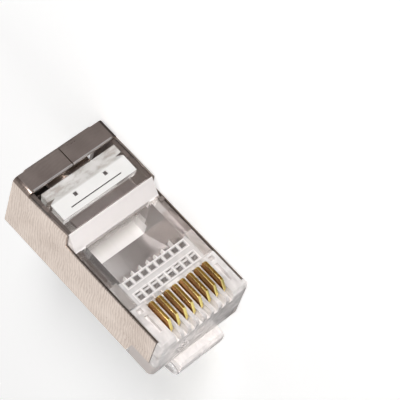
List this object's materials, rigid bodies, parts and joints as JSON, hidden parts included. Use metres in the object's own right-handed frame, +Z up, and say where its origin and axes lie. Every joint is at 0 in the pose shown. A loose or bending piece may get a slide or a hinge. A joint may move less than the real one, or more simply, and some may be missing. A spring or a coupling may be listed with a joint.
{
  "type": "shielded rj45 modular plug",
  "caption": "Shielded modular plug for round data cable: clear moulded housing with spring latch, folded metal shield and a bank of blade contacts, not yet crimped.",
  "frame": {"origin": "bottom centre of the plug's bounding box, on the surface it lies on", "axes": "+X towards the latch side, +Y towards the jack, +Z up, across the plug, which lies on its left side wall"},
  "size_m": [0.0132, 0.0238, 0.0117],
  "materials": {
    "clear_polycarbonate": "gloss",
    "nickel_sheet": "satin",
    "gold_plate": "gloss"
  },
  "bodies": {
    "plug": {"housing": "clear_polycarbonate", "shield": "nickel_sheet", "contact_1": "gold_plate", "contact_2": "gold_plate", "contact_3": "gold_plate", "contact_4": "gold_plate", "contact_5": "gold_plate", "contact_6": "gold_plate", "contact_7": "gold_plate", "contact_8": "gold_plate"},
    "latch": {"latch": "clear_polycarbonate"}
  },
  "joints": [
    {"name": "latch_hinge", "type": "hinge", "parent": "plug", "child": "latch", "pos_m": [0.00256, 0.01097, 0.00585], "axis": [0, 0, -1], "range_deg": [0, 10], "stiffness_Nm_per_rad": 0.2}
  ]
}
